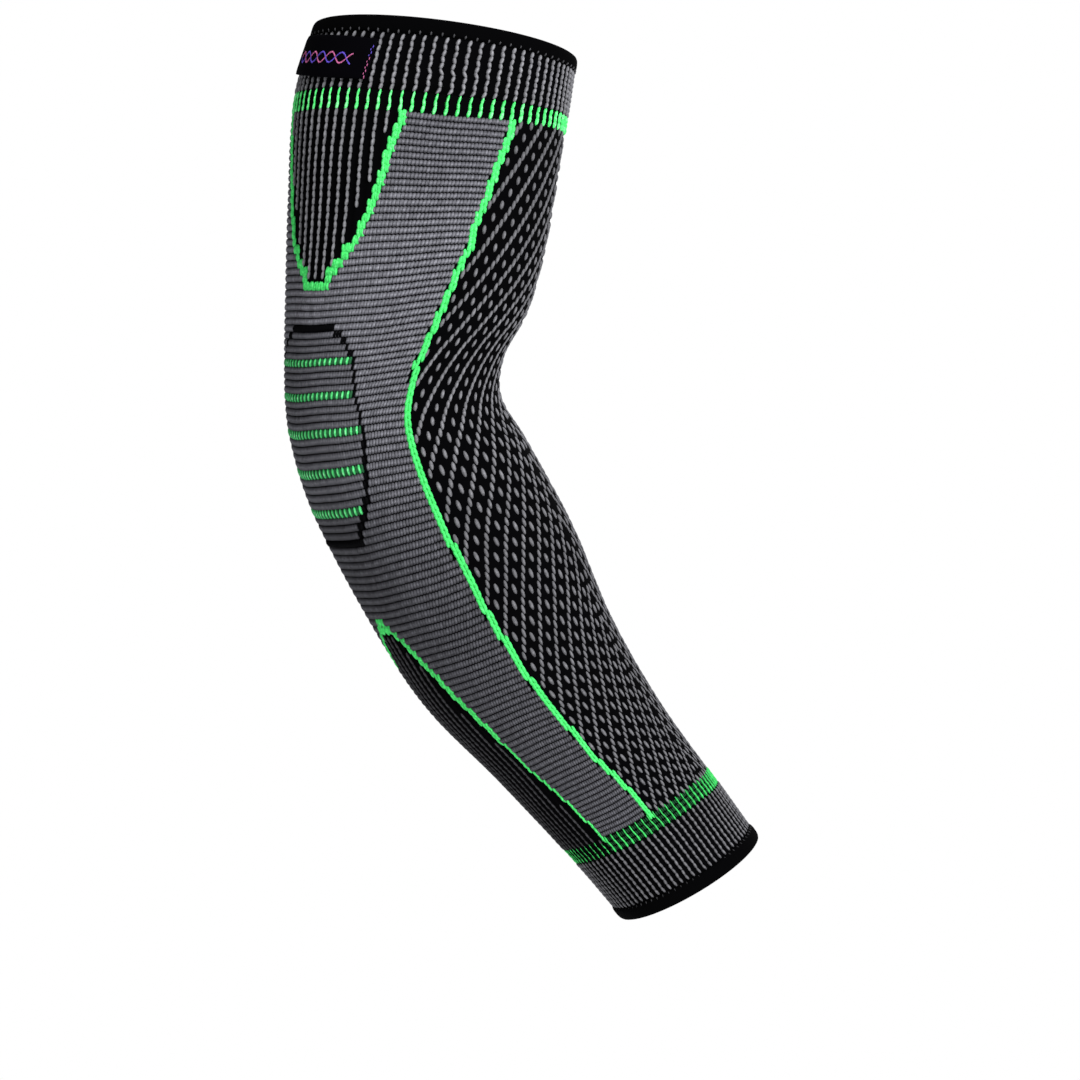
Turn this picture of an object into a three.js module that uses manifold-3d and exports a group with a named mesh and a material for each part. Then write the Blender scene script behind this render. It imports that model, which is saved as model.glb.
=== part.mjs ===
// A knitted compression sleeve for the elbow, held in the bent form that it is worn in.
// Millimetres. The origin is on the centre line at the bend, where the mount is.
// +Z runs up the upper half, the lower half bends towards +X, and the elbow pad faces -X.
import * as THREE from "three";
import { mergeVertices } from "three/addons/utils/BufferGeometryUtils.js";
import Module from "manifold-3d";

// The sleeve as a whole.
const UPPER_LENGTH = 138; // from the bend up to the top edge, along the centre line
const LOWER_LENGTH = 211; // from the bend down to the lower edge
const BEND_TURN = 47; // degrees between the upper half and the end of the lower half
const TOP_DEPTH = 97; // front to back at the top edge, inside the wall
const TOP_WIDTH = 91; // side to side at the top edge, inside the wall
const KNIT_TURN = 10; // degrees from the -X side to the knit's middle line, towards -Y
const UPPER_TWIST = 21; // degrees that the knit is turned further on the upper half

// The knitted wall, and the bands at its ends.
const WALL = 1.5;
const RIB_COUNT = 74; // ribs round a cuff
const RIB_HEIGHT = 0.6;
const CUFF_WALL = 1.5; // under the ribs
const UPPER_CUFF_LENGTH = 18.6;
const LOWER_CUFF_LENGTH = 21.4;
const HEM_TALL = 5.3;
const HEM_WALL = 2.4;
const HEM_CORNER = 1;

// The elbow pad and the label.
const PAD_TOP = 37.5; // how far the pad reaches above the bend
const PAD_BOTTOM = 41; // and below it
const PAD_TURN = 39; // degrees from the pad's middle line to its side
const PAD_RISE = 0.5; // how far it stands out from the wall round it
const LABEL_LONG = 50;
const LABEL_TALL = 14;
const LABEL_WALL = 0.7;
const LABEL_TURN = -13; // degrees from the knit's middle line to the label's middle
const LABEL_DROP = 1.8; // from the cuff's upper edge to the label's
const LABEL_LEAN = -4; // degrees that the label is sewn on askew

const GAP = 0.3; // between neighbouring pieces

// How finely the round forms are divided.
const BODY_SIDES = 52;
const ROWS_PER_SECTION = 2;
const HEM_SIDES = 56;
const CORNER_STEPS = 1;
const PAD_SIDES = 38;
const LABEL_COLUMNS = 14;
const LABEL_ROWS = 2;

// The sleeve's cross sections from the top edge to the lower edge.
// along: share of UPPER_LENGTH above the bend, or of LOWER_LENGTH below it.
// lean: which way the centre line runs from here to the next row, as a share of BEND_TURN.
// tilt: how far the section itself is turned, as a share of BEND_TURN.
// dip: how far its -Y side sinks along the sleeve, as a share of half its width.
// depth and width: shares of TOP_DEPTH and TOP_WIDTH. point: how much narrower its -X side is.
// twist: how far the knit is turned there, as a share of UPPER_TWIST.
const SECTIONS = [
  { along: 1, lean: -0.12, tilt: -0.03, dip: -0.06, depth: 0.97, width: 0.98, point: 0.02, twist: 1 },
  { along: 0.81, lean: 0.02, tilt: 0.05, dip: -0.01, depth: 1.01, width: 1.01, point: 0.03, twist: 1 },
  { along: 0.56, lean: 0.02, tilt: 0.17, dip: 0.02, depth: 0.985, width: 0.99, point: 0.04, twist: 0.95 },
  { along: 0.36, lean: -0.05, tilt: 0.28, dip: 0.04, depth: 0.95, width: 0.97, point: 0.06, twist: 0.85 },
  { along: 0.22, lean: -0.16, tilt: 0.34, dip: 0.06, depth: 0.9, width: 0.95, point: 0.09, twist: 0.7 },
  { along: 0.1, lean: 0.14, tilt: 0.39, dip: 0.07, depth: 0.81, width: 0.94, point: 0.12, twist: 0.58 },
  { along: 0, lean: 0.62, tilt: 0.42, dip: 0.07, depth: 0.78, width: 0.94, point: 0.13, twist: 0.45 },
  { along: -0.11, lean: 0.74, tilt: 0.5, dip: 0.05, depth: 0.83, width: 0.95, point: 0.1, twist: 0.3 },
  { along: -0.3, lean: 0.76, tilt: 0.6, dip: 0.01, depth: 0.84, width: 0.92, point: 0.05, twist: 0.12 },
  { along: -0.49, lean: 0.96, tilt: 0.67, dip: -0.03, depth: 0.77, width: 0.83, point: 0.03, twist: 0.04 },
  { along: -0.68, lean: 1, tilt: 0.73, dip: -0.05, depth: 0.66, width: 0.71, point: 0.02, twist: 0 },
  { along: -0.89, lean: 0.97, tilt: 0.79, dip: -0.06, depth: 0.6, width: 0.645, point: 0.02, twist: 0 },
  { along: -1, lean: 0.97, tilt: 0.82, dip: -0.02, depth: 0.58, width: 0.64, point: 0.02, twist: 0 },
];

// The elbow pad's outline as shares: up is of PAD_TOP, or of PAD_BOTTOM where it is negative,
// and turn is of PAD_TURN. Its other side is the mirror image.
const PAD_OUTLINE = [
  { up: 1, turn: 0 },
  { up: 1, turn: 0.36 },
  { up: 0.83, turn: 0.61 },
  { up: 0.63, turn: 0.72 },
  { up: 0.39, turn: 0.85 },
  { up: 0.15, turn: 0.97 },
  { up: -0.12, turn: 1 },
  { up: -0.39, turn: 0.93 },
  { up: -0.6, turn: 0.85 },
  { up: -0.77, turn: 0.7 },
  { up: -0.89, turn: 0.52 },
  { up: -1, turn: 0.36 },
  { up: -1, turn: 0 },
];

const wasm = await Module();
wasm.setup();

const radians = THREE.MathUtils.degToRad;
const lengthAlong = (share) => share * (share < 0 ? LOWER_LENGTH : UPPER_LENGTH);

// The sleeve's form, from one end of the table to the other, as smooth curves over the length.
function sleeveForm() {
  const stations = SECTIONS.map((row) => ({ ...row, s: lengthAlong(row.along), x: 0, z: 0 }));
  for (let i = 1; i < stations.length; i += 1) {
    const above = stations[i - 1];
    const here = stations[i];
    const lean = radians(above.lean * BEND_TURN);
    here.x = above.x + (above.s - here.s) * Math.sin(lean);
    here.z = above.z - (above.s - here.s) * Math.cos(lean);
  }
  const bend = stations.find((row) => row.along === 0);
  const columns = stations.toReversed().flatMap((row) => [
    row.x - bend.x,
    row.z - bend.z,
    radians(row.tilt * BEND_TURN),
    row.dip,
    (row.depth * TOP_DEPTH) / 2,
    (row.width * TOP_WIDTH) / 2,
    row.point,
    radians(row.twist * UPPER_TWIST),
  ]);
  const places = stations.toReversed().map((row) => row.s);
  return new THREE.CubicInterpolant(places, columns, columns.length / places.length);
}

const form = sleeveForm();

// A point of the sleeve: turn is the angle round the knit from its middle line towards -Y,
// s the length along the centre line from the bend, and out the distance from the inner face.
function onSleeve(turn, s, out) {
  const [x, z, tilt, dip, halfDepth, halfWidth, point, twist] = form.evaluate(s);
  const angle = turn + radians(KNIT_TURN) + twist;
  const forward = -(halfDepth + out) * Math.cos(angle);
  const aside = (halfWidth * (1 - point * Math.cos(angle)) + out) * Math.sin(angle);
  const drop = dip * aside;
  return new THREE.Vector3(
    x + forward * Math.cos(tilt) + drop * Math.sin(tilt),
    -aside,
    z + forward * Math.sin(tilt) - drop * Math.cos(tilt),
  );
}

// Moves every vertex of a geometry to the place that the function gives for it.
function remap(geometry, place) {
  const positions = geometry.getAttribute("position");
  const vertex = new THREE.Vector3();
  for (let i = 0; i < positions.count; i += 1) {
    vertex.fromBufferAttribute(positions, i);
    const moved = place(vertex);
    positions.setXYZ(i, moved.x, moved.y, moved.z);
  }
  geometry.deleteAttribute("normal");
  geometry.deleteAttribute("uv");
  return mergeVertices(geometry, 1e-3);
}

// A band right round the sleeve, turned from a closed profile whose x is the distance from the
// inner face and y the length along the centre line. lift moves a point further out by its angle and place.
function band(profile, sides, lift = () => 0) {
  const turned = new THREE.LatheGeometry(
    profile.map((p) => new THREE.Vector2(TOP_DEPTH + p.x, p.y)),
    sides,
  );
  return remap(turned, (v) => {
    const turn = Math.atan2(v.x, v.z);
    const out = Math.hypot(v.x, v.z) - TOP_DEPTH;
    return onSleeve(turn, v.y, out + lift(turn, out));
  });
}

// The closed profile of a wall through a list of lengths along the sleeve, from low to high.
function wallProfile(heights, thick) {
  const outside = heights.map((y) => new THREE.Vector2(thick, y));
  const inside = heights.toReversed().map((y) => new THREE.Vector2(0, y));
  return [...outside, ...inside, outside[0]];
}

// The lengths along the sleeve between two ends where a wall needs points, from low to high:
// the ends, the sections that lie between them, and even steps from each section to the next.
function bodyHeights(low, high) {
  const sections = SECTIONS.map((row) => lengthAlong(row.along));
  const inner = sections.filter((s) => s > low + WALL && s < high - WALL);
  const stops = [high, ...inner, low].toReversed();
  const steps = stops.slice(1).flatMap((stop, i) =>
    Array.from({ length: ROWS_PER_SECTION }, (_, k) =>
      THREE.MathUtils.lerp(stops[i], stop, (k + 1) / ROWS_PER_SECTION),
    ),
  );
  return [low, ...steps];
}

// The closed profile of a hem, with all four corners rounded.
function hemProfile(low, high) {
  const near = HEM_CORNER;
  const far = HEM_WALL - HEM_CORNER;
  const path = new THREE.Path();
  path.absarc(far, low + HEM_CORNER, HEM_CORNER, -Math.PI / 2, 0);
  path.absarc(far, high - HEM_CORNER, HEM_CORNER, 0, Math.PI / 2);
  path.absarc(near, high - HEM_CORNER, HEM_CORNER, Math.PI / 2, Math.PI);
  path.absarc(near, low + HEM_CORNER, HEM_CORNER, Math.PI, 1.5 * Math.PI);
  path.closePath();
  return path.getPoints(CORNER_STEPS);
}

function solidOf(geometry) {
  const { array } = geometry.getAttribute("position");
  const mesh = new wasm.Mesh({ numProp: 3, vertProperties: array, triVerts: geometry.index.array });
  return new wasm.Manifold(mesh);
}

function geometryOf(solid) {
  const { numProp, vertProperties, triVerts } = solid.getMesh();
  const positions = new THREE.InterleavedBuffer(vertProperties, numProp);
  const geometry = new THREE.BufferGeometry();
  geometry.setAttribute("position", new THREE.InterleavedBufferAttribute(positions, 3, 0));
  geometry.setIndex(new THREE.BufferAttribute(triVerts, 1));
  return geometry;
}

// Where each piece starts and ends along the sleeve.
const hemTop = UPPER_LENGTH;
const hemBottom = hemTop - HEM_TALL;
const cuffTop = hemBottom - GAP;
const cuffBottom = cuffTop - UPPER_CUFF_LENGTH;
const bodyTop = cuffBottom - GAP;
const lowerHemBottom = -LOWER_LENGTH;
const lowerHemTop = lowerHemBottom + HEM_TALL;
const lowerCuffBottom = lowerHemTop + GAP;
const lowerCuffTop = lowerCuffBottom + LOWER_CUFF_LENGTH;
const bodyBottom = lowerCuffTop + GAP;

// A cuff's outside rises into ribs, and its inside stays smooth.
function cuff(low, high) {
  const ribs = (turn, out) => ((out / CUFF_WALL) * RIB_HEIGHT * (1 + Math.cos(turn * RIB_COUNT))) / 2;
  return band(wallProfile([low, high], CUFF_WALL), 2 * RIB_COUNT, ribs);
}

function hem(low, high) {
  return band(hemProfile(low, high), HEM_SIDES);
}

// A plug through the wall with the pad's outline, grown by a margin. Its ends lie well clear of
// the wall, inside the hollow and outside the sleeve.
function padPlug(margin) {
  const corners = [-1, 1].flatMap((side) => {
    const half = PAD_OUTLINE.map((row) => new THREE.Vector3(side * row.turn, row.up, 0));
    return side < 0 ? half.slice(0, -1) : half.toReversed().slice(0, -1);
  });
  const outline = new THREE.CatmullRomCurve3(corners, true, "centripetal").getSpacedPoints(PAD_SIDES);
  const middle = new THREE.Vector3();
  const plug = new THREE.CylinderGeometry(1, 1, 1, PAD_SIDES, 1, false);
  return remap(plug, (v) => {
    const step = Math.round((Math.atan2(v.x, v.z) / (2 * Math.PI)) * PAD_SIDES);
    const rim = Math.hypot(v.x, v.z) > 0.5;
    const p = rim ? outline[(step + PAD_SIDES) % PAD_SIDES] : middle;
    const turn = p.x * (radians(PAD_TURN) + (2 * margin) / TOP_WIDTH);
    const s = p.y * ((p.y < 0 ? PAD_BOTTOM : PAD_TOP) + margin);
    return onSleeve(turn, s, v.y * TOP_DEPTH * 0.6);
  });
}

function body() {
  const wall = band(wallProfile(bodyHeights(bodyBottom, bodyTop), WALL), BODY_SIDES);
  return geometryOf(solidOf(wall).subtract(solidOf(padPlug(GAP))));
}

function elbowPad() {
  const heights = bodyHeights(-PAD_BOTTOM - TOP_DEPTH / 5, PAD_TOP + TOP_DEPTH / 5);
  const ring = solidOf(band(wallProfile(heights, WALL + PAD_RISE), BODY_SIDES));
  return geometryOf(ring.intersect(solidOf(padPlug(0))));
}

function label() {
  const box = new THREE.BoxGeometry(LABEL_LONG, LABEL_TALL, LABEL_WALL, LABEL_COLUMNS, LABEL_ROWS, 1);
  const middle = cuffTop - LABEL_DROP - LABEL_TALL / 2;
  const seat = CUFF_WALL + RIB_HEIGHT + GAP;
  box.rotateZ(radians(LABEL_LEAN));
  return remap(box, (v) => {
    const turn = radians(LABEL_TURN) + (2 * v.x) / TOP_WIDTH;
    return onSleeve(turn, middle + v.y, seat + LABEL_WALL / 2 + v.z);
  });
}

const black = new THREE.MeshStandardMaterial({ color: "#0b0b0d", roughness: 0.85, metalness: 0 });
const ribbed = new THREE.MeshStandardMaterial({ color: "#2b2b2e", roughness: 0.9, metalness: 0 });
const knitted = new THREE.MeshStandardMaterial({ color: "#3a3a3f", roughness: 0.9, metalness: 0 });
const padded = new THREE.MeshStandardMaterial({ color: "#55555b", roughness: 0.9, metalness: 0 });
const woven = new THREE.MeshStandardMaterial({ color: "#08080a", roughness: 0.6, metalness: 0 });

const pieces = [
  { name: "upper_hem", geometry: hem(hemBottom, hemTop), material: black },
  { name: "upper_cuff", geometry: cuff(cuffBottom, cuffTop), material: ribbed },
  { name: "sleeve_body", geometry: body(), material: knitted },
  { name: "elbow_pad", geometry: elbowPad(), material: padded },
  { name: "lower_cuff", geometry: cuff(lowerCuffBottom, lowerCuffTop), material: ribbed },
  { name: "lower_hem", geometry: hem(lowerHemBottom, lowerHemTop), material: black },
  { name: "label", geometry: label(), material: woven },
];

const sleeve = new THREE.Group();
sleeve.name = "arm_compression_sleeve";
for (const { name, geometry, material } of pieces) {
  const mesh = new THREE.Mesh(geometry, material);
  mesh.name = name;
  sleeve.add(mesh);
}

export default sleeve;
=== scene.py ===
"""The looks of a knitted compression sleeve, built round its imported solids.

The knit is charted: a place on the sleeve is a needle (one column of stitches), a height along
the sleeve's bent middle line and a height off the form. Everything is modelled flat in that
chart and then moved onto the sleeve. Lengths are in millimetres in the tables, and in metres in
the objects.
"""

import math

import bmesh
import bpy
import numpy as np
from mathutils import Matrix, Vector


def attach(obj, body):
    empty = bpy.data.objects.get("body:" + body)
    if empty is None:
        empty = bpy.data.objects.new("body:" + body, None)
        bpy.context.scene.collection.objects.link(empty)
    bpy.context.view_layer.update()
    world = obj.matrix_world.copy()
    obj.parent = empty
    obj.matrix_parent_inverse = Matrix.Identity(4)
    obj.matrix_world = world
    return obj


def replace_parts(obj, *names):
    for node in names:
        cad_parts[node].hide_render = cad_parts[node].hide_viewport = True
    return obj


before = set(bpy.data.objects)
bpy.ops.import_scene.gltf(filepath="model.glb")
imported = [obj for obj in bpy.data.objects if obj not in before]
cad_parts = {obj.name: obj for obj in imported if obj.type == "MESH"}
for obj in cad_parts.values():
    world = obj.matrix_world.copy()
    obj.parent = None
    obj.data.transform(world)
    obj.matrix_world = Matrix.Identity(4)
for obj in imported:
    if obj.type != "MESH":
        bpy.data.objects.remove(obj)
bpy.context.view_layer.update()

MM = 0.001

# The form, as the solids have it.

UPPER_LENGTH = 138  # from the bend's middle to the top hem's edge
LOWER_LENGTH = 211  # from the bend's middle to the lower hem's edge
BEND_TURN = 47  # degrees
TOP_DEPTH = 97
TOP_WIDTH = 91
UPPER_TWIST = 21  # degrees
KNIT_TURN = 10  # degrees from the -X side to the knit's middle line

# along is of UPPER_LENGTH, or of LOWER_LENGTH where it is negative. lean and tilt are of
# BEND_TURN, depth and width of the top's, and twist of UPPER_TWIST. dip is how far a side drops
# for each millimetre aside, and point how much narrower the elbow's side is.
SECTIONS = (  # along, lean, tilt, dip, depth, width, point, twist
    (1, -0.12, -0.03, -0.06, 0.97, 0.98, 0.02, 1),
    (0.81, 0.02, 0.05, -0.01, 1.01, 1.01, 0.03, 1),
    (0.56, 0.02, 0.17, 0.02, 0.985, 0.99, 0.04, 0.95),
    (0.36, -0.05, 0.28, 0.04, 0.95, 0.97, 0.06, 0.85),
    (0.22, -0.16, 0.34, 0.06, 0.9, 0.95, 0.09, 0.7),
    (0.1, 0.14, 0.39, 0.07, 0.81, 0.94, 0.12, 0.58),
    (0, 0.62, 0.42, 0.07, 0.78, 0.94, 0.13, 0.45),
    (-0.11, 0.74, 0.5, 0.05, 0.83, 0.95, 0.1, 0.3),
    (-0.3, 0.76, 0.6, 0.01, 0.84, 0.92, 0.05, 0.12),
    (-0.49, 0.96, 0.67, -0.03, 0.77, 0.83, 0.03, 0.04),
    (-0.68, 1, 0.73, -0.05, 0.66, 0.71, 0.02, 0),
    (-0.89, 0.97, 0.79, -0.06, 0.6, 0.645, 0.02, 0),
    (-1, 0.97, 0.82, -0.02, 0.58, 0.64, 0.02, 0),
)

HEM_TALL = 5.3
HEM_WALL = 2.4
CUFF_TOP = 132.4
CUFF_BOTTOM = 113.8
BODY_TOP = 113.5
BODY_BOTTOM = -183.7
LOWER_CUFF_TOP = -184
LOWER_CUFF_BOTTOM = -205.4

# The chart.

NEEDLES = 222  # columns of stitches round the sleeve
RIB = 3  # columns in one rib
FRONT = NEEDLES // 2  # the column opposite the knit's middle line
COLUMNS = range(-FRONT, NEEDLES - FRONT)
RIBS = COLUMNS[::RIB]  # the middle column of each rib

COURSES = (  # height, and how tall a course is there
    (113.5, 2.25), (85, 2.25), (60, 2.35), (30, 2.35), (15, 2.5), (0, 2.7), (-20, 2.85),
    (-75, 2.85), (-95, 2.7), (-115, 2.5), (-140, 2.35), (-160, 2.15), (-184, 2.0),
)
# Half the width of each patch of the pattern, in needles from the middle line, by height.
UPPER_PANEL = (
    (107, 22), (99, 20.7), (91, 19), (83, 17.7), (75, 15.9), (68, 13.6), (64, 12.3), (60, 10),
    (57, 8), (53, 5),
)
NET_EDGE = (
    (107, 51.4), (97, 49.8), (88, 47.8), (79, 46.8), (71, 44.9), (58, 43.3), (54, 41.6),
    (45, 40.5), (36, 38.9), (22, 37.4), (8, 37.9), (-30, 38), (-55, 38.7), (-74, 39.2),
    (-94, 41), (-123, 42.1), (-145, 43.1), (-162, 45.2), (-170, 46), (-177, 45.5),
)
LOWER_PANEL = (
    (-68, 0), (-75, 4.4), (-82, 8.3), (-88, 10.5), (-95, 12.6), (-110, 15.4), (-125, 17.3),
    (-141, 18.5), (-157, 21.5), (-178, 23.3),
)
PAD_EDGE = (
    (35.5, 9), (33.2, 12), (30.8, 15), (28.4, 16), (26, 18), (20, 19), (14, 20), (8, 22), (4, 23.3),
    (-4, 23.8), (-9.5, 23), (-19.5, 20.8), (-24.5, 19.7), (-30, 17), (-36, 13), (-40, 11),
)
UPPER_TIP = UPPER_PANEL[-1][0]
LOWER_TIP = LOWER_PANEL[0][0]
UPPER_CLOSED = 3.5  # how tall the closed tip of each panel's green outline is
LOWER_CLOSED = 6
LOWER_THIN = -125  # the lower outline is one stitch wide under this height
PAD_TOP = 38
PAD_BOTTOM = -40.5
PAD_TICKS = (25.8, 12.7, -0.3, -14, -27.3)  # heights of the pad's green rows
# The net's slanting lines are numbered from the top one down. NET_PHASE is the number, with its
# share, of the line that passes NET_MIDDLE, and NET_STEP is how far apart they are, in needles.
NET_MIDDLE = 58
NET_PHASE = (
    (113, 0.05), (95, 1.15), (75, 2.3), (55, 3.55), (45, 4.25), (35, 5.1), (25, 5.85),
    (15, 6.25), (5, 6.7), (-5, 7.15), (-15, 7.9), (-35, 9.2), (-55, 10.5), (-85, 12.3),
    (-105, 13.65), (-115, 14.4), (-155, 17.55), (-184, 19.9),
)
NET_STEP = (
    (113, 7.8), (45, 7.9), (25, 7.7), (-5, 7.9), (-25, 7.4), (-45, 6.9), (-65, 6.35),
    (-95, 6.2), (-125, 6), (-184, 5.9),
)
NET_COURSES = (
    (113, 2.3), (60, 2.3), (50, 2.15), (35, 2), (5, 2.15), (-8, 2.75), (-25, 3.05), (-42, 3.05),
    (-55, 2.85), (-90, 2.8), (-107, 2.6), (-148, 2.55), (-160, 2.35), (-184, 2.15),
)
# Where the slanting lines turn back at the front, in needles.
NET_TURN = ((113, 84), (0, 83), (-40, 82), (-60, 81), (-184, 81))
NET_INSET = 2  # how far inside its edge the net starts, in needles
NET_LONGER = ((-20, 0), (50, 1))  # how far the net's stitches are of the upper, longer kind
# The two bands of green ticks, from their upper heights to their lower ones.
UPPER_TICKS = (113.7, 107.3)
LOWER_TICKS = (-177, -183.7)
PATTERN_TOP = UPPER_TICKS[1]
PATTERN_BOTTOM = LOWER_TICKS[0]
# How pale each yarn is drawn, by height; in the grey rows and the pad this holds painted shade.
# GREY_SHADE: the grey yarn's own tone, with painted shade where the sleeve faces from the lamps.
GREY_SHADE = (
    (-180, 0.3), (-120, 0.25), (-80, 0.22), (-35, 0.33), (0, 0.52), (60, 0.6), (100, 0.43),
)
GREEN_SHADE = ((-180, 0.76), (-60, 0.7), (20, 0.72), (80, 0.8))
NET_SHADE = ((-180, 0.34), (-60, 0.31), (0, 0.41), (100, 0.29))
# PAD_SHADE: the pad yarn's tone, with painted shade darkening its lowest rows.
PAD_SHADE = ((-38, 0.17), (-20, 0.38))
# Painted shade on the grey rows below the pad and beside its lower end, where the sleeve turns
# from the lamps: how much darker, by height, and how far round that reaches, by needle.
ELBOW_PAINTED_SHADE = ((-75, 0), (-60, 0.3), (-25, 0.3), (-15, 0))
ELBOW_PAINTED_SHADE_REACH = ((8, 1), (26, 0))
# Half the width and the lean of the bumps in the grey rows, by needle.
BUMP_WIDE = ((6, 0.95), (28, 0.68))
BUMP_LEAN = ((6, 0.0), (28, 0.18))
# Half the width of the stitches in the net's lines, by height.
NET_WIDE = ((-60, 0.62), (-10, 0.7), (20, 0.7), (60, 0.6))
# How much of their rise all stitches keep, by height: the knit is finer at its lower end.
RISE_KEPT = ((-180, 0.6), (60, 1))


def across(table, height):
    """A table's value at a height, between the rows that it has."""
    rows = sorted(table)
    return np.interp(height, [row[0] for row in rows], [row[1] for row in rows])


def courses(high, low, table=COURSES):
    """The middles and heights of the courses between two heights, from the top down."""
    rows = []
    edge = high
    while edge > low:
        tall = float(across(table, edge))
        rows.append((edge - tall / 2, tall))
        edge -= tall
    return rows


def stations():
    """The sections from the lowest up, with their places along the bent middle line."""
    length = [row[0] * (LOWER_LENGTH if row[0] < 0 else UPPER_LENGTH) for row in SECTIONS]
    x, z = [0.0], [0.0]
    for k in range(1, len(SECTIONS)):
        lean = math.radians(SECTIONS[k - 1][1] * BEND_TURN)
        step = length[k - 1] - length[k]
        x.append(x[-1] + step * math.sin(lean))
        z.append(z[-1] - step * math.cos(lean))
    bend = length.index(0)
    rows = []
    for k, (_, _, tilt, dip, depth, width, point, twist) in enumerate(SECTIONS):
        rows.append((
            x[k] - x[bend],
            z[k] - z[bend],
            math.radians(tilt * BEND_TURN),
            dip,
            depth * TOP_DEPTH / 2,
            width * TOP_WIDTH / 2,
            point,
            math.radians(twist * UPPER_TWIST),
        ))
    return np.array(length[::-1], float), np.array(rows[::-1])


HEIGHTS, FORMS = stations()


def sleeve_form(height):
    """The form at each height, smooth through the sections."""
    last = len(HEIGHTS) - 1
    i = np.clip(np.searchsorted(HEIGHTS, height, side="right") - 1, 0, last - 1)
    here, there = HEIGHTS[i], HEIGHTS[i + 1]
    before = np.where(i > 0, i - 1, i + 1)
    before_at = np.where(i > 0, HEIGHTS[np.maximum(i - 1, 0)], there)
    after = np.where(i < last - 1, i + 2, i)
    after_at = np.where(i < last - 1, HEIGHTS[np.minimum(i + 2, last)], here)
    half = (there - here) / 2
    wp, wn = half / (here - before_at), half / (after_at - there)
    p = (height - here) / (there - here)
    pp, ppp = p * p, p * p * p
    weights = (
        (before, -wp * ppp + 2 * wp * pp - wp * p),
        (i, (1 + wp) * ppp + (-1.5 - 2 * wp) * pp + (-0.5 + wp) * p + 1),
        (i + 1, (-1 - wn) * ppp + (1.5 + wn) * pp + 0.5 * p),
        (after, wn * ppp - wn * pp),
    )
    return sum(weight[:, None] * FORMS[k] for k, weight in weights)


def on_sleeve(chart):
    """Chart points (needle, height, height off the form) as points of the sleeve, in metres."""
    needle, height, off = chart.T
    x, z, tilt, dip, deep, wide, point, twist = sleeve_form(height).T
    angle = needle * 2 * np.pi / NEEDLES + twist + math.radians(KNIT_TURN)
    forward = -(deep + off) * np.cos(angle)
    aside = (wide * (1 - point * np.cos(angle)) + off) * np.sin(angle)
    drop = dip * aside
    places = (
        x + forward * np.cos(tilt) + drop * np.sin(tilt),
        -aside,
        z + forward * np.sin(tilt) - drop * np.cos(tilt),
    )
    return np.stack(places, 1) * MM


# Making pieces.

random = np.random.default_rng(7)
scene = bpy.context.scene


def shown(name, mesh, material):
    """A mesh as an object of the scene, in its place, with its material."""
    piece = bpy.data.objects.new(name, mesh)
    scene.collection.objects.link(piece)
    mesh.materials.append(material)
    return piece


def chart_grid(columns, rows):
    """A flat bmesh grid with its places in shares from 0 to 1, and a UV map of them."""
    bm = bmesh.new()
    bmesh.ops.create_grid(bm, x_segments=columns, y_segments=rows, size=0.5, calc_uvs=True)
    bmesh.ops.translate(bm, verts=bm.verts, vec=(0.5, 0.5, 0))
    return bm


def cloth(name, material, columns, rows, chart, closed=False):
    """A grid of cloth put on the sleeve. chart turns shares across and up into chart places.
    closed joins the edges that meet, round the sleeve or round a hem."""
    bm = chart_grid(columns, rows)
    uv = bm.loops.layers.uv.verify()
    shares = np.array([v.co for v in bm.verts])
    places = chart(shares[:, 0], shares[:, 1])
    for face in bm.faces:
        for loop in face.loops:
            needle, height, _ = places[loop.vert.index]
            loop[uv].uv = (needle, height)
    for vert, place in zip(bm.verts, on_sleeve(places)):
        vert.co = place
    if closed:
        bmesh.ops.remove_doubles(bm, verts=bm.verts, dist=1e-6)
    bm.normal_update()
    for face in bm.faces:
        face.smooth = True
    mesh = bpy.data.meshes.new(name)
    bm.to_mesh(mesh)
    bm.free()
    return shown(name, mesh, material)


def walled(piece, wall):
    """Gives a piece of cloth its thickness, inwards, with the knit's reverse on the inside."""
    piece.data.materials.append(REVERSE_KNIT)
    solidify = piece.modifiers.new("wall", "SOLIDIFY")
    solidify.thickness = wall * MM
    solidify.offset = -1
    solidify.material_offset = 1
    return piece


def in_order(points, corners):
    """The same points and triangles, listed in an order that doesn't change from run to run."""
    order = np.lexsort(points.round(6).T)
    corners = np.argsort(order)[corners]
    corners = np.array([np.roll(row, -row.argmin()) for row in corners])
    return points[order], corners[np.lexsort(corners.T)]


def stitch_shape(sides, rings):
    """One raised stitch, half an oval bead from -1 to 1: x across, y along and z out. Gives its
    points and its triangles."""
    bm = bmesh.new()
    bmesh.ops.create_uvsphere(bm, u_segments=sides, v_segments=rings, radius=1)
    turn = Matrix.Rotation(math.pi / 2, 3, "X")
    bmesh.ops.rotate(bm, verts=bm.verts, cent=(0, 0, 0), matrix=turn)
    everything = bm.verts[:] + bm.edges[:] + bm.faces[:]
    bmesh.ops.bisect_plane(
        bm, geom=everything, dist=1e-4, plane_co=(0, 0, 0), plane_no=(0, 0, 1), clear_inner=True
    )
    bmesh.ops.triangulate(bm, faces=bm.faces)
    bm.verts.index_update()
    points = np.array([v.co for v in bm.verts])
    corners = np.array([[v.index for v in face.verts] for face in bm.faces])
    bm.free()
    return in_order(points, corners)


BEAD = stitch_shape(8, 4)
GRAIN = stitch_shape(8, 6)  # rounder along its length


def settled(chart):
    """Chart points a little out of line, as knit settles: slow waves, and a jog in the cuff."""
    needle, height, off = chart.T
    aside = 0.16 * np.sin(needle / 7 + height / 19) + 0.1 * np.sin(height / 5 - needle / 11)
    up = 0.22 * np.sin(needle / 9 + height / 15) + 0.12 * np.sin(needle / 3.7 - height / 23)
    pulled = np.exp(-((needle - 33) / 9) ** 2) * np.clip(height - 114, 0, 1)
    jog = pulled * (0.55 / (1 + np.exp((height - 121) * 3)) - 0.2)
    return np.stack((needle + aside + jog, height + up, off), 1)


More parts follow.
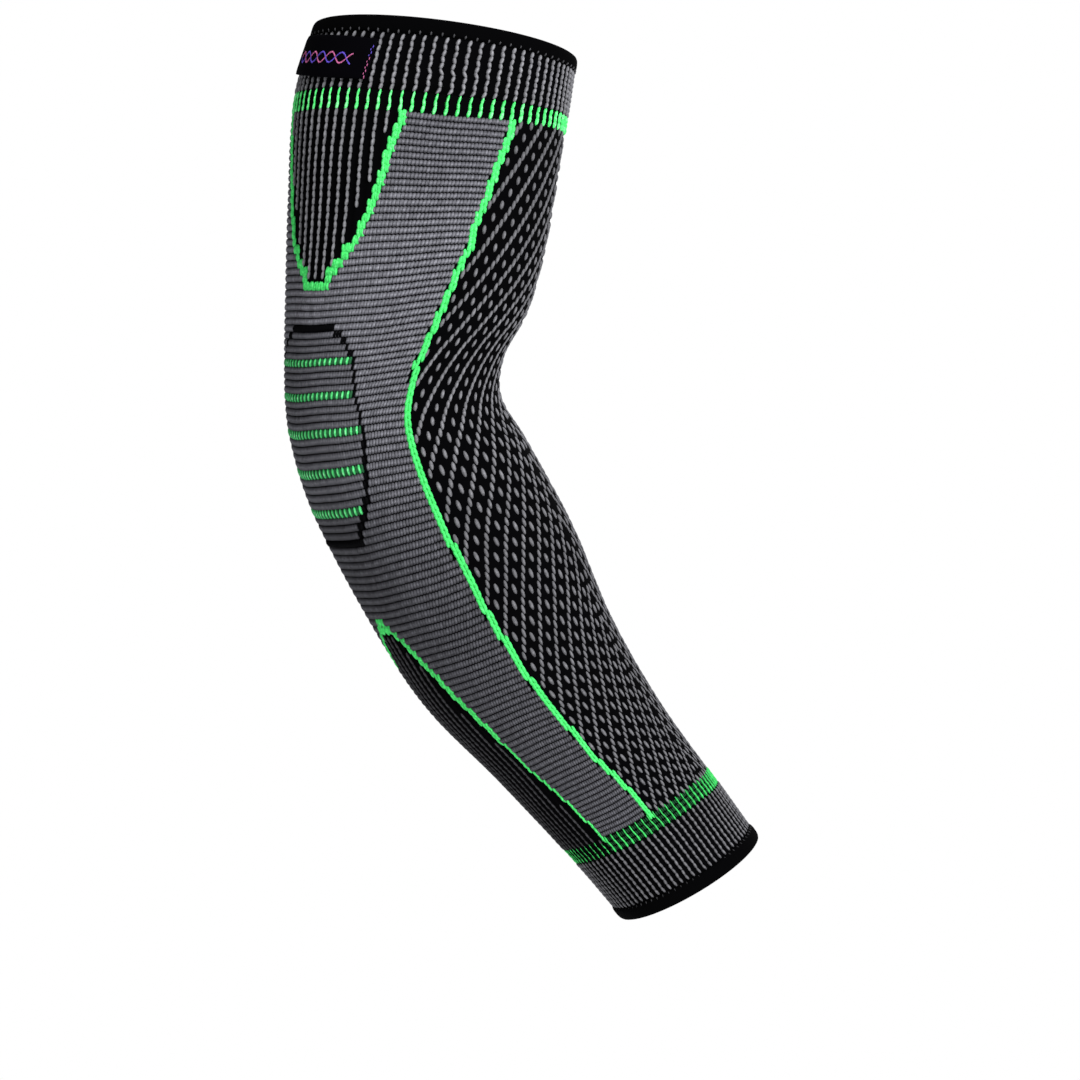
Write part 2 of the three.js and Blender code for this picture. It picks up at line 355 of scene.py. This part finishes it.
class Stitches:
    """Many raised stitches of one yarn, which become one joined mesh."""

    def __init__(self, shape):
        self.shape = shape
        self.rows = []

    def add(self, needle, height, wide=0.5, tall=1.2, base=1.0, rise=0.8, lean=0.0, shade=0.5):
        """wide is half the width in needles, tall half the height in millimetres, base and rise
        are the foot and the crown above it, lean is in needles for each millimetre up."""
        self.rows.append((needle, height, wide, tall, base, rise, lean, shade))

    def piece(self, name, material, loose=0.04):
        """The joined mesh. loose is how unevenly the stitches lie, as a share of their size."""
        points, corners = self.shape
        rows = np.array(self.rows)
        jitter = random.uniform(-loose, loose, (len(rows), 5))
        rows[:, 0] += jitter[:, 0]
        rows[:, 1] += jitter[:, 1] * rows[:, 3]
        rows[:, 2:4] *= 1 + jitter[:, 2:4]
        rows[:, 5] *= 1 + jitter[:, 4]
        rows[:, 5] *= across(RISE_KEPT, rows[:, 1])
        needle, height, wide, tall, base, rise, lean, shade = (row[:, None] for row in rows.T)
        x, y, z = points.T
        up = tall * y
        chart = np.stack((needle + wide * x + lean * up, height + up, base + rise * z), 2)
        places = on_sleeve(settled(chart.reshape(-1, 3)))
        count = len(rows)
        faces = (corners[None] + len(points) * np.arange(count)[:, None, None]).reshape(-1, 3)
        mesh = bpy.data.meshes.new(name)
        mesh.vertices.add(len(places))
        mesh.vertices.foreach_set("co", places.ravel())
        mesh.loops.add(faces.size)
        mesh.loops.foreach_set("vertex_index", faces.ravel())
        mesh.polygons.add(len(faces))
        mesh.polygons.foreach_set("loop_start", np.arange(0, faces.size, 3))
        mesh.update(calc_edges=True)
        mesh.shade_smooth()
        local = np.tile(np.stack((x, y), 1), (count, 1))[faces.ravel()]
        uv = mesh.uv_layers.new(name="UVMap")
        uv.data.foreach_set("uv", (local * 0.5 + 0.5).ravel())
        tone = mesh.attributes.new("shade", "FLOAT", "POINT")
        tone.data.foreach_set("value", np.repeat(rows[:, 7], len(points)))
        return shown(name, mesh, material)


# Materials.


class Wire:
    """A node's output in a material, on which sums and products can be written."""

    def __init__(self, tree, socket=None):
        self.tree = tree
        self.socket = socket

    def node(self, kind, settings=None, values=None, out=0):
        """Adds a node: its settings first, then its sockets' values or links. Gives one output."""
        made = self.tree.nodes.new(kind)
        for key, value in (settings or {}).items():
            if key == "stops":
                ramp = made.color_ramp.elements
                while len(ramp) < len(value):
                    ramp.new(0.5)
                for stop, (place, colour) in zip(ramp, value):
                    stop.position, stop.color = place, (*colour, 1)
            else:
                setattr(made, key, value)
        for key, value in (values or {}).items():
            if isinstance(value, Wire):
                self.tree.links.new(value.socket, made.inputs[key])
            else:
                made.inputs[key].default_value = value
        return Wire(self.tree, made.outputs[out])

    def math(self, operation, *values):
        """One Math node on values and wires."""
        return self.node("ShaderNodeMath", {"operation": operation}, dict(enumerate(values)))

    def __add__(self, other):
        return self.math("ADD", self, other)

    __radd__ = __add__

    def __sub__(self, other):
        return self.math("SUBTRACT", self, other)

    def __rsub__(self, other):
        return self.math("SUBTRACT", other, self)

    def __mul__(self, other):
        return self.math("MULTIPLY", self, other)

    __rmul__ = __mul__

    def blend(self, dark, light):
        """Between two colours, by this value."""
        settings = {"data_type": "RGBA"}
        return self.node("ShaderNodeMix", settings, {"Factor": self, 6: dark, 7: light}, out=2)


def new_material(name, roughness, specular):
    """A new material with the values that are the same all over it."""
    made = bpy.data.materials.new(name)
    made.use_nodes = True
    shader = made.node_tree.nodes["Principled BSDF"]
    shader.inputs["Roughness"].default_value = roughness
    shader.inputs["Specular IOR Level"].default_value = specular
    return made, Wire(made.node_tree)


def finish(made, colour, height=None, strength=0.5, distance=0.1):
    """Links a colour and a relief to a material's shader. distance is in millimetres."""
    shader = made.node_tree.nodes["Principled BSDF"]
    links = made.node_tree.links
    links.new(colour.socket, shader.inputs["Base Color"])
    if height is not None:
        values = {"Strength": strength, "Distance": distance * MM, "Height": height}
        bump = height.node("ShaderNodeBump", None, values)
        links.new(bump.socket, shader.inputs["Normal"])
    return made


def fibres(wire, scale=2600.0):
    """Fine loose fibres, from 0 to 1, over the whole object."""
    place = wire.node("ShaderNodeTexCoord", out="Object")
    values = {"Vector": place, "Scale": scale, "Detail": 2.0, "Roughness": 0.6}
    return wire.node("ShaderNodeTexNoise", None, values)


def plain_knit(name, dark, light, specular=0.03, depth=0.12):
    """Plain knit: a small V in every needle and course, from the cloth's own chart."""
    made, wire = new_material(name, 1.0, specular)
    chart = wire.node("ShaderNodeUVMap", {"uv_map": "UVMap"})
    needle = wire.node("ShaderNodeSeparateXYZ", None, {0: chart}, out="X")
    height = wire.node("ShaderNodeSeparateXYZ", None, {0: chart}, out="Y")
    leg = wire.math("PINGPONG", needle, 0.5) * 2
    slant = height * (1 / 1.15) - leg * 0.5
    wave = wire.math("SINE", slant * (2 * math.pi)) * 0.5 + 0.5
    groove = wire.math("SINE", leg * math.pi) * 0.6 + 0.4
    relief = wave * groove
    # The colour follows the relief: painted shade in the grooves of each V, fine fibres over it.
    tone = relief * 0.7 + fibres(wire) * 0.3
    return finish(made, tone.blend((*dark, 1), (*light, 1)), relief, 0.8, depth)


def yarn(name, dark, light, crown=None, specular=0.25, plies=(14.4, 4.5), foot=(0.4, 0.3),
         cast=0.16):
    """Yarn of raised stitches: plies twisted along and across each stitch, painted shade in the
    plies' grooves and towards each stitch's sides and ends, and a painted highlight. foot is how
    soon the painted shade darkens its sides and its ends, cast how much of its tone the plies'
    painted shade changes, and crown the colour of the painted highlight where its tone is highest."""
    made, wire = new_material(name, 0.72, specular)
    chart = wire.node("ShaderNodeUVMap", {"uv_map": "UVMap"})
    side = wire.node("ShaderNodeSeparateXYZ", None, {0: chart}, out="X")
    along = wire.node("ShaderNodeSeparateXYZ", None, {0: chart}, out="Y")
    shade = wire.node("ShaderNodeAttribute", {"attribute_name": "shade"}, out="Fac")
    # Painted shade in the plies' grooves, as much as cast.
    ply = wire.math("SINE", (along * plies[0] + side * plies[1]) * math.pi) * 0.5 + 0.5
    edge = wire.math("PINGPONG", side, 0.5) * 2
    end = wire.math("PINGPONG", along, 0.5) * 2
    # Painted shade: darker towards each stitch's sides and ends, where it meets its neighbours.
    painted_foot_shade = wire.math("POWER", edge, foot[0]) * wire.math("POWER", end, foot[1])
    tufts = wire.math("MULTIPLY_ADD", fibres(wire, 1150.0), 1.5, 0.25)
    tone = (shade * painted_foot_shade) * (1 - cast + cast * ply) * tufts
    # The top stop, crown, is a painted highlight on each stitch's brightest parts.
    stops = ((0, dark), (0.75, light), (1, crown or light))
    colour = wire.node("ShaderNodeValToRGB", {"stops": stops}, {"Fac": tone})
    relief = ply + 0.6 * fibres(wire, 4200.0)
    return finish(made, colour, relief, 0.5, 0.06)


BLACK_KNIT = plain_knit("black_knit", (0.0003, 0.0003, 0.0005), (0.0026, 0.0025, 0.0032))
REVERSE_KNIT = plain_knit("reverse_knit", (0.002, 0.002, 0.0025), (0.075, 0.073, 0.08), depth=0.3)
HEM_KNIT = plain_knit("hem_knit", (0.0003, 0.0003, 0.0004), (0.0022, 0.0021, 0.0027))
TAPE = plain_knit("label_tape", (0.0004, 0.0003, 0.0008), (0.003, 0.0026, 0.0048), depth=0.05)
PALE_YARN = yarn("pale_grey_yarn", (0.003, 0.003, 0.004), (0.455, 0.455, 0.49), specular=0.15)
GREY_YARN = yarn(
    "grey_yarn", (0.006, 0.006, 0.008), (0.4, 0.4, 0.455), specular=0.15, plies=(3.0, 7.6),
    foot=(0.35, 0.75), cast=0.5,
)
# The third colours of the two green yarns are their painted highlights.
GREEN_YARN = yarn(
    "green_yarn", (0.0, 0.03, 0.01), (0.08, 0.95, 0.19), (0.3, 1.0, 0.42), specular=0.2,
    foot=(0.12, 0.1), cast=0.12,
)
PAD_GREEN = yarn(
    "pad_green_yarn", (0.0, 0.02, 0.01), (0.1, 0.9, 0.24), (0.6, 1.0, 0.75), specular=0.3
)
BLACK_YARN = yarn("black_yarn", (0.0003, 0.0003, 0.0004), (0.003, 0.003, 0.004), specular=0.03)
VIOLET_THREAD = yarn("violet_thread", (0.02, 0.01, 0.1), (0.19, 0.12, 0.9))
PINK_THREAD = yarn("pink_thread", (0.08, 0.01, 0.05), (0.9, 0.22, 0.5))

# The cloth under the stitches.

CLOTH_OFF = 1.1  # the cloth's outer face off the form, in millimetres
CLOTH_WALL = 1.1
RIB_RISE = 0.4
BODY_LAP = 0.35  # how far the body's cloth runs on towards each cuff
CUFF_LAP = 1.5  # how far each cuff's cloth runs in under its hem
CLOTH_COLUMNS = 2 * NEEDLES  # of the mesh, round the body and the cuffs
BODY_ROWS = 74
CUFF_ROWS = 6
HEM_SIDES = 20


def rib_rise(needle):
    """The crown of a rib, on every third needle."""
    return RIB_RISE * (0.5 + 0.5 * np.cos(2 * np.pi * needle / RIB))


def in_ribs(needle, height):
    """How much a place belongs to one of the two ribbed panels, from 0 to 1."""
    upper = np.where(height > UPPER_TIP - 1, across(UPPER_PANEL, height), 0)
    lower = np.where(height < LOWER_TIP, across(LOWER_PANEL, height), 0)
    return np.clip(np.maximum(upper, lower) - np.abs(needle), 0, 1)


def body_chart(x, y):
    """The long tube, with ribs in its two ribbed panels."""
    needle = (x - 0.5) * NEEDLES
    height = BODY_BOTTOM - BODY_LAP + y * (BODY_TOP - BODY_BOTTOM + 2 * BODY_LAP)
    return np.stack((needle, height, CLOTH_OFF + rib_rise(needle) * in_ribs(needle, height)), 1)


def cuff_chart(low, high):
    """A cuff, ribbed all round."""

    def chart(x, y):
        needle = (x - 0.5) * NEEDLES
        height = low + y * (high - low)
        return np.stack((needle, height, CLOTH_OFF + rib_rise(needle)), 1)

    return chart


def hem_chart(low, high):
    """A folded hem: a closed, softly squared roll."""

    def chart(x, y):
        needle = (x - 0.5) * NEEDLES
        turn = 2 * np.pi * y
        side, top = np.cos(turn), np.sin(turn)
        squared = (np.abs(side) ** 3 + np.abs(top) ** 3) ** (-1 / 3)
        off = HEM_WALL / 2 * (1 + side * squared)
        height = (low + high) / 2 + (high - low) / 2 * top * squared
        return np.stack((needle, height, off), 1)

    return chart


def make_cloth():
    """The sleeve's own tube, its cuffs and its hems."""
    body = cloth("body_cloth", BLACK_KNIT, CLOTH_COLUMNS, BODY_ROWS, body_chart, closed=True)
    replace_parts(walled(body, CLOTH_WALL), "sleeve_body")
    chart = cuff_chart(CUFF_BOTTOM, CUFF_TOP + CUFF_LAP)
    upper = cloth("upper_cuff_cloth", BLACK_KNIT, CLOTH_COLUMNS, CUFF_ROWS, chart, closed=True)
    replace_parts(walled(upper, CLOTH_WALL), "upper_cuff")
    chart = cuff_chart(LOWER_CUFF_BOTTOM - CUFF_LAP, LOWER_CUFF_TOP)
    lower = cloth("lower_cuff_cloth", BLACK_KNIT, CLOTH_COLUMNS, CUFF_ROWS, chart, closed=True)
    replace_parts(walled(lower, CLOTH_WALL), "lower_cuff")
    chart = hem_chart(UPPER_LENGTH - HEM_TALL, UPPER_LENGTH)
    top_hem = cloth("top_hem_roll", HEM_KNIT, NEEDLES, HEM_SIDES, chart, closed=True)
    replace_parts(top_hem, "upper_hem")
    chart = hem_chart(-LOWER_LENGTH, HEM_TALL - LOWER_LENGTH)
    end_hem = cloth("lower_hem_roll", HEM_KNIT, NEEDLES, HEM_SIDES, chart, closed=True)
    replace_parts(end_hem, "lower_hem")
    return body, upper, lower, top_hem, end_hem


# The stitches.


def needles(low, high):
    """Whole needles from low to high."""
    return range(math.ceil(low), math.floor(high) + 1)


def both_sides(needle):
    """A column and its mirror image across the middle line."""
    return (needle, -needle) if needle else (0,)


def chain(stitches, needle, high, low, pitch, shade, wide, slip):
    """Linked stitches down one rib, each leaning the other way from the last by slip."""
    count = max(1, round((high - low) / pitch))
    step = (high - low) / count
    for k in range(count):
        height = high - (k + 0.5) * step
        swing = slip * (-1) ** k
        stitches.add(
            needle, height, wide, tall=step * 0.6, base=CLOTH_OFF + RIB_RISE * 0.7, rise=0.8,
            lean=swing, shade=shade * random.uniform(0.85, 1.1),
        )


def rib_chains():
    """The grey chains of the two cuffs and the two ribbed panels."""
    pale = Stitches(GRAIN)
    for needle in RIBS:
        chain(
            pale, needle, CUFF_TOP, CUFF_BOTTOM + 0.2,
            pitch=2.05, shade=0.5, wide=0.54, slip=0.14,
        )
        chain(
            pale, needle, LOWER_CUFF_TOP, LOWER_CUFF_BOTTOM + 0.3,
            pitch=2.05, shade=0.33, wide=0.62, slip=0.1,
        )
    for needle in RIBS:
        low = [height for height, half in UPPER_PANEL if half - 1.6 > abs(needle)]
        if low:
            chain(
                pale, needle, PATTERN_TOP, min(low) + 0.8,
                pitch=2.33, shade=0.47, wide=0.5, slip=0.07,
            )
        high = [height for height, half in LOWER_PANEL if half - 1.2 > abs(needle)]
        if high:
            chain(
                pale, needle, max(high) - 0.8, PATTERN_BOTTOM,
                pitch=2.35, shade=0.11, wide=0.46, slip=0.05,
            )
    return pale.piece("rib_chains", PALE_YARN)


def grey_rows():
    """The rolled rows between the panels and the net, with one soft bump for each needle."""
    pieces = []
    areas = (  # name, side, upper height, lower height
        ("upper_rows_near", 1, PATTERN_TOP, 0), ("upper_rows_far", -1, PATTERN_TOP, 0),
        ("lower_rows_near", 1, 0, PATTERN_BOTTOM), ("lower_rows_far", -1, 0, PATTERN_BOTTOM),
    )
    rows = courses(PATTERN_TOP, PATTERN_BOTTOM)
    for name, side, high, low in areas:
        beads = Stitches(BEAD)
        for height, tall in rows:
            if not low <= height < high:
                continue
            inner = -1
            if height > UPPER_TIP - 2:
                inner = across(UPPER_PANEL, height) + 1
            elif height < LOWER_TIP:
                inner = across(LOWER_PANEL, height) + 0.5
            elif PAD_BOTTOM < height < PAD_TOP + 0.5:
                inner = round(float(across(PAD_EDGE, height))) + 1
            outer = across(NET_EDGE, height) - 0.7
            # GREY_SHADE holds the yarn's tone and painted shade, by height.
            shade, elbow_painted_shade = across(GREY_SHADE, height), across(ELBOW_PAINTED_SHADE, height)
            for needle in needles(max(inner, 0 if side > 0 else 1), outer):
                # Painted shade: the grey rows near the elbow's lower left are drawn darker.
                pale = 1 - elbow_painted_shade * across(ELBOW_PAINTED_SHADE_REACH, needle)
                beads.add(
                    side * needle, height, across(BUMP_WIDE, needle), tall * 0.53,
                    base=0.95, rise=0.9, lean=side * across(BUMP_LEAN, needle),
                    shade=shade * pale * random.uniform(0.8, 1.2),
                )
        pieces.append(beads.piece(name, GREY_YARN, 0.03))
    return pieces


def green_lines():
    """The green outlines: the upper panel's, the net's edge, the lower panel's and the ticks."""
    green = Stitches(GRAIN)

    def leg(needle, height, tall, wide):
        """One stitch of an outline, and its mirror image."""
        for place in both_sides(needle):
            green.add(
                place, height, wide * 0.94, tall * 0.76, base=0.95, rise=0.95,
                lean=0.12 * (-1) ** round(needle),
                shade=across(GREEN_SHADE, height) * random.uniform(0.88, 1.06),
            )

    for height, tall in courses(PATTERN_TOP, PATTERN_BOTTOM):
        if height > UPPER_TIP:
            middle = round(float(across(UPPER_PANEL, height)))
            after = round(float(across(UPPER_PANEL, height - tall)))
            start = after if middle - after > 1 else middle
            for needle in np.arange(start - 0.6, middle + 0.7, 0.6):
                leg(float(needle), height, tall, 0.7)
        elif height > UPPER_TIP - UPPER_CLOSED:
            for needle in range(6):
                leg(needle, height, tall, 0.75)
        edge = round(float(across(NET_EDGE, height)))
        for needle in (edge, edge + 1):
            leg(needle, height, tall, 0.72)
        if height < LOWER_TIP:
            middle = round(float(across(LOWER_PANEL, height)))
            steep = round(float(across(LOWER_PANEL, height - tall))) - middle
            start = 0 if height > LOWER_TIP - LOWER_CLOSED else middle
            for needle in range(start, middle + max(2 if height > LOWER_THIN else 1, steep)):
                leg(needle, height, tall, 0.8)
    for high, low in (UPPER_TICKS, LOWER_TICKS):
        for needle in RIBS:
            step = (high - low) / 3
            # The lower band's ticks are narrower, and dimmed by painted shade.
            narrow, light = (1, 1) if high > 0 else (0.85, 0.55)
            for k, wide in enumerate((0.36, 0.44, 0.52)):
                height = high - (k + 0.5) * step
                green.add(
                    needle, height, wide * narrow, step * 0.75, base=1.1, rise=0.95,
                    lean=0.1 * (-1) ** k, shade=light * random.uniform(0.85, 1.05),
                )
    for needle in COLUMNS:
        if (needle + FRONT) % RIB:
            for k in range(3):
                height = LOWER_TICKS[0] - 1.1 - 2.2 * k
                green.add(needle, height, wide=0.5, tall=1.3, base=0.9, rise=0.5, shade=0.02)
    return green.piece("green_stitches", GREEN_YARN, 0.03)


def net_stitches():
    """The net at the front: slanting lines of stitches, and a file of dashes between them."""
    lines = Stitches(GRAIN)
    for k, (height, tall) in enumerate(courses(PATTERN_TOP, PATTERN_BOTTOM, NET_COURSES)):
        phase, step = float(across(NET_PHASE, height)), float(across(NET_STEP, height))
        slant = (across(NET_PHASE, height - 4) - across(NET_PHASE, height + 4)) / 8 * step
        edge = float(across(NET_EDGE, height)) + NET_INSET
        turn = float(across(NET_TURN, height))
        share = across(NET_LONGER, height)
        first = math.ceil(2 * (phase + (edge - NET_MIDDLE) / step))
        last = math.floor(2 * (phase + (turn - NET_MIDDLE) / step))
        for half in range(first, last + 1):
            line, dash = divmod(half, 2)
            if dash and (k + line) % 2:
                continue
            needle = NET_MIDDLE + (half / 2 - phase) * step
            back = 2 * turn - needle
            if dash:
                wide, long, lean = 0.72 - 0.1 * share, 0.76 - 0.02 * share, 0.0
            else:
                wide, long, lean = across(NET_WIDE, height), 0.68 + 0.14 * share, slant * 0.15
            places = [(needle, lean)]
            if turn + 0.6 < back <= FRONT:
                places.append((back, -lean))
            for place, tip in places:
                for side in (1, -1):
                    lines.add(
                        side * place, height, wide, tall * long, base=1.0, rise=0.7,
                        lean=side * tip,
                        shade=across(NET_SHADE, height) * random.uniform(0.88, 1.08),
                    )
    return lines.piece("net_stitches", PALE_YARN)


# The elbow pad.

PAD_OFF = 1.15  # the edge of its cloth off the form
PAD_PUFF = 0.35  # how much further its middle comes out


def pad_chart(x, y):
    """The oval, a little fuller inside its edge."""
    height = PAD_BOTTOM + (PAD_TOP - PAD_BOTTOM) * y
    needle = (2 * x - 1) * (across(PAD_EDGE, height) + 0.5)
    edge = np.minimum(np.minimum(x, 1 - x) * 10, np.minimum(y, 1 - y) * 16)
    return np.stack((needle, height, PAD_OFF + PAD_PUFF * np.clip(edge, 0, 1)), 1)


def make_pad():
    """The elbow pad: its cloth, its smooth rows, its green rows and its black stepped edge."""
    pad = cloth("pad_cloth", BLACK_KNIT, columns=48, rows=60, chart=pad_chart)
    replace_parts(walled(pad, 0.6), "elbow_pad")
    beads, green, black = Stitches(BEAD), Stitches(GRAIN), Stitches(BEAD)
    low, high = PAD_BOTTOM - 1, PAD_TOP + 1
    rows = [row for row in courses(PATTERN_TOP, low) if low < row[0] < high]
    ticked = {min(rows, key=lambda row: abs(row[0] - height))[0] for height in PAD_TICKS}
    for k, (height, tall) in enumerate(rows):
        half = round(float(across(PAD_EDGE, height)))
        if k in (0, len(rows) - 1):
            for needle in range(-half, half + 1):
                black.add(needle, height, 0.8, tall * 0.5, base=1.3, rise=1.0, shade=0.5)
            continue
        after = round(float(across(PAD_EDGE, height - tall)))
        low, high = min(half, after), max(half, after)
        for side in (-1, 1):
            for needle in range(low, max(high, low + 1)):
                place, wide = side * (needle + 0.1), 0.56 if high - low < 2 else 0.62
                black.add(place, height, wide, tall * 0.54, base=1.2, rise=0.9, shade=0.5)
        for needle in range(1 - low, low):
            if height in ticked:
                light = 0.92 if needle % 2 == 0 else 0.1
                green.add(needle, height, 0.6, tall * 0.64, base=1.3, rise=0.95, shade=light)
            else:
                # The pad's rows, their lowest ones darkened by painted shade.
                beads.add(
                    needle, height, 0.95, tall * 0.52, base=1.3, rise=0.9,
                    shade=across(PAD_SHADE, height) * random.uniform(0.88, 1.12),
                )
    return pad, [
        beads.piece("pad_rows", GREY_YARN, 0.02),
        green.piece("pad_green_rows", PAD_GREEN, 0.02),
        black.piece("pad_edge", BLACK_YARN, 0.02),
    ]


# The label.

LABEL_LONG = 50
LABEL_TALL = 14
LABEL_WALL = 0.7
LABEL_TURN = -13  # degrees
LABEL_LEAN = -4  # degrees
LABEL_MIDDLE = CUFF_TOP - 1.8 - LABEL_TALL / 2
LABEL_OFF = 3.1  # off the form
LABEL_RIM = 0.35  # how far the tape's edge and the feet of its stitches lie under LABEL_OFF
BRAID_START = -15
BRAID_PITCH = 0.34
BRAID_BEADS = 96
BRAID_MIDDLE = 0.6
BRAID_HALF = 1.7  # half the braid's height


def label_place(x, y, off=0.0):
    """A place on the label, in millimetres from its middle, as a chart place."""
    lean = math.radians(LABEL_LEAN)
    along = x * math.cos(lean) - y * math.sin(lean)
    up = x * math.sin(lean) + y * math.cos(lean)
    needle = (math.radians(LABEL_TURN) + 2 * along / TOP_WIDTH) * NEEDLES / (2 * math.pi)
    return needle, LABEL_MIDDLE + up, LABEL_OFF + off


def label_chart(x, y):
    """The tape, lowest along the middle of its lower edge. The corner that wraps out of sight
    lifts a little."""
    low, high = 2.4 * (1 - x) ** 1.5 + 2 * x**2 - LABEL_TALL / 2, LABEL_TALL / 2 + 1.1
    rim = np.minimum(np.minimum(x, 1 - x) * LABEL_LONG, np.minimum(y, 1 - y) * LABEL_TALL)
    puff = 0.3 * np.clip(rim / 1.4, 0, 1) - LABEL_RIM
    puff += 0.7 * np.clip(1 - x * 12, 0, 1) * (1 - y)
    return np.stack(label_place((x - 0.5) * LABEL_LONG, low + (high - low) * y, puff), 1)


def make_label():
    """The black tape sewn over the upper cuff, with a plain braid of two threads along it."""
    label = cloth("label_tape", TAPE, columns=60, rows=22, chart=label_chart)
    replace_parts(walled(label, LABEL_WALL), "label")
    violet, pink = Stitches(BEAD), Stitches(BEAD)

    def bead(thread, x, y, wide, tall, rise, shade):
        needle, height, off = label_place(x, y)
        thread.add(needle, height, wide, tall, base=off - LABEL_RIM, rise=rise, shade=shade)

    for k in range(11):  # down the end
        thread = pink if k > 3 else violet
        x, y = 23.8 + 0.25 * (-1) ** k, 5.6 - k
        bead(thread, x, y, wide=0.16, tall=0.62, rise=0.35, shade=0.6)
    for k in range(BRAID_BEADS):
        x = BRAID_START + BRAID_PITCH * k
        for thread, side in ((violet, 1), (pink, -1)):
            y = BRAID_MIDDLE + side * BRAID_HALF * math.sin(x * 0.62)
            bead(thread, x, y, wide=0.22, tall=0.42, rise=0.5, shade=random.uniform(0.5, 0.85))
    for k in range(8):  # along the top
        bead(violet, -9 - 1.9 * k, 6.6, wide=0.26, tall=0.22, rise=0.3, shade=0.8)
    return label, [
        violet.piece("label_violet_stitches", VIOLET_THREAD),
        pink.piece("label_pink_stitches", PINK_THREAD),
    ]


# The hems' seams.

HEM_SEAMS = (  # height, and how pale its loops are
    (UPPER_LENGTH - HEM_TALL + 0.6, 0.12), (HEM_TALL - LOWER_LENGTH - 0.6, 0.06),
)


def hem_stitches():
    """Small grey loops where each hem is sewn down, one between each rib and the next."""
    loops = Stitches(BEAD)
    for needle in RIBS:
        place = needle + RIB / 2
        for height, shade in HEM_SEAMS:
            loops.add(place, height, wide=0.34, tall=0.8, base=1.6, rise=0.9, shade=shade)
    return loops.piece("hem_stitches", PALE_YARN)


# Stage, light and camera.

VIEW_TURN = -15  # degrees round the sleeve
VIEW_ROLL = 6.8  # degrees
VIEW_AWAY = 1.6  # metres
METRES_A_PIXEL = 0.00037
PICTURE = 1080
ORIGIN_AT = (394, 411)  # the part's origin in the picture
SENSOR = 36  # millimetres
ROOM_LIGHT = 0.2
LAMPS = (  # name, metres right, up and back from the middle of the view, size, watts
    ("key", 1.3, 1.5, 1.95, 1.1, 102.0),
    ("fill", -1.0, 1.4, 1.6, 1.2, 3.5),
    ("behind", 0.6, 1.1, -1.6, 1.2, 9.0),
)
FLOOR_HEIGHT = -0.5  # metres
FLOOR_RADIUS = 1.7


def view_axes():
    """The camera's right, up and backward directions."""
    turn, roll = math.radians(VIEW_TURN), math.radians(VIEW_ROLL)
    back = Vector((math.sin(turn), -math.cos(turn), 0))
    level = Vector((math.cos(turn), math.sin(turn), 0))
    up = Vector((0, 0, 1))
    right = level * math.cos(roll) + up * math.sin(roll)
    return right, up * math.cos(roll) - level * math.sin(roll), back


def make_camera():
    """The camera, square to the view. Gives the middle of the view."""
    right, up, back = view_axes()
    half = PICTURE / 2
    target = right * ((half - ORIGIN_AT[0]) * METRES_A_PIXEL)
    target += up * ((ORIGIN_AT[1] - half) * METRES_A_PIXEL)
    lens = bpy.data.cameras.new("camera")
    lens.sensor_width = SENSOR
    lens.sensor_fit = "HORIZONTAL"
    lens.lens = SENSOR * VIEW_AWAY / (PICTURE * METRES_A_PIXEL)
    lens.clip_end = 50
    camera = bpy.data.objects.new("camera", lens)
    scene.collection.objects.link(camera)
    axes = Matrix((right, up, back)).transposed().to_4x4()
    camera.matrix_world = Matrix.Translation(target + back * VIEW_AWAY) @ axes
    scene.camera = camera
    return target


def make_light(name, place, target, size, power):
    """A round lamp at a place, turned to its target."""
    lamp = bpy.data.lights.new(name, "AREA")
    lamp.shape = "DISK"
    lamp.size = size
    lamp.energy = power
    light = bpy.data.objects.new(name, lamp)
    scene.collection.objects.link(light)
    light.location = place
    light.rotation_euler = (target - place).to_track_quat("-Z", "Y").to_euler()


def make_stage():
    """A plain white floor, well below the sleeve."""
    bm = bmesh.new()
    bmesh.ops.create_circle(bm, cap_ends=True, segments=96, radius=FLOOR_RADIUS)
    bmesh.ops.translate(bm, verts=bm.verts, vec=(0, 0, FLOOR_HEIGHT))
    mesh = bpy.data.meshes.new("floor")
    bm.to_mesh(mesh)
    bm.free()
    made, wire = new_material("floor_white", 0.9, 0.0)
    grain = fibres(wire, 3.0)
    finish(made, grain.blend((0.94, 0.94, 0.94, 1), (0.96, 0.96, 0.96, 1)))
    shown("floor", mesh, made)


def make_world():
    """A white room: plain white behind the sleeve, and softer where it lights it."""
    world = bpy.data.worlds.new("studio")
    world.use_nodes = True
    wire = Wire(world.node_tree)
    seen = wire.node("ShaderNodeLightPath", out="Is Camera Ray")
    sky = world.node_tree.nodes["Background"]
    sky.inputs["Color"].default_value = (1, 1, 1, 1)
    strength = ROOM_LIGHT + (1 - ROOM_LIGHT) * seen
    world.node_tree.links.new(strength.socket, sky.inputs["Strength"])
    scene.world = world
    scene.view_settings.view_transform = "Standard"


def make_studio():
    """Camera, floor, room and lamps."""
    right, up, back = view_axes()
    target = make_camera()
    make_stage()
    make_world()
    for name, aside, above, away, size, power in LAMPS:
        place = target + right * aside + up * above + back * away
        make_light(name, place, target, size, power)


# The whole sleeve.

body, upper_cuff, lower_cuff, top_hem, end_hem = make_cloth()
pad, pad_stitches = make_pad()
label, label_stitches = make_label()
chains = rib_chains()
stitches = [chains, green_lines(), net_stitches(), *grey_rows()]
hem_row = hem_stitches()
pieces = [body, upper_cuff, lower_cuff, top_hem, end_hem, pad, label, hem_row]
pieces += pad_stitches + label_stitches + stitches
for piece in pieces:
    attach(piece, "root")

make_studio()
